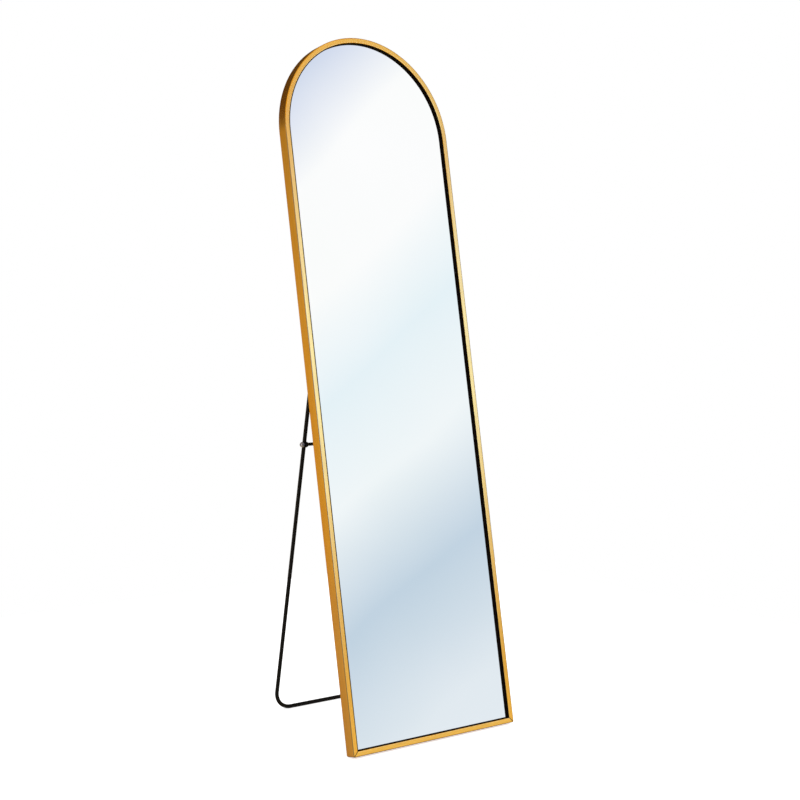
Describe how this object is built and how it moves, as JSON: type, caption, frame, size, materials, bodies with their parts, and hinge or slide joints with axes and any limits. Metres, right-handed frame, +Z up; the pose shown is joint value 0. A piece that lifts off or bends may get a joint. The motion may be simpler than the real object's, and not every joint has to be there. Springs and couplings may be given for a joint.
{
  "type": "leaning floor mirror",
  "caption": "Full-length arched floor mirror in a slim gold aluminium frame, propped by a folding black U stand.",
  "frame": {"origin": "on the floor, under the middle of the whole mirror and its open stand", "axes": "+Z up, +X across the mirror to the right of someone who faces it, +Y backwards from the glass to the stand"},
  "size_m": [0.4, 0.3822, 1.3807],
  "materials": {
    "gold_aluminium": "satin gold anodised, faint lengthwise brushing",
    "black_gasket": "matt extruded",
    "silvered_glass": "polished, silvered behind",
    "white_foam": "matt closed-cell foam",
    "black_fibreboard": "matt black faced fibreboard",
    "black_steel": "satin black powder coat",
    "zinc_steel": "bright zinc plated"
  },
  "bodies": {
    "leaf": {"frame_arch": "gold_aluminium", "bottom_rail": "gold_aluminium", "gasket_arch": "black_gasket", "gasket_bottom": "black_gasket", "mirror_glass": "silvered_glass", "foam_sheet": "white_foam", "backing_board": "black_fibreboard", "corner_key_left": "zinc_steel", "corner_key_right": "zinc_steel", "key_screw_left_upright": "zinc_steel", "key_screw_left_foot": "zinc_steel", "key_screw_right_upright": "zinc_steel", "key_screw_right_foot": "zinc_steel", "hinge_bracket_left": "black_steel", "hinge_bracket_right": "black_steel", "bracket_screw_left_1": "zinc_steel", "bracket_screw_left_2": "zinc_steel", "bracket_screw_left_3": "zinc_steel", "bracket_screw_left_4": "zinc_steel", "bracket_screw_right_1": "zinc_steel", "bracket_screw_right_2": "zinc_steel", "bracket_screw_right_3": "zinc_steel", "bracket_screw_right_4": "zinc_steel", "pivot_bolt_left": "zinc_steel", "pivot_bolt_right": "zinc_steel", "pivot_washer_left": "zinc_steel", "pivot_washer_right": "zinc_steel", "pivot_nut_left": "zinc_steel", "pivot_nut_right": "zinc_steel"},
    "stand": {"stand_frame": "black_steel", "crossbar": "black_steel", "saddle_washer_left": "zinc_steel", "saddle_washer_right": "zinc_steel", "crossbar_screw_left": "zinc_steel", "crossbar_screw_right": "zinc_steel"}
  },
  "joints": [
    {"name": "stand_fold", "type": "hinge", "parent": "leaf", "child": "stand", "pos_m": [0, 0.00741, 0.9133], "axis": [1, 0, 0], "range_deg": [-21.67, 0]}
  ]
}
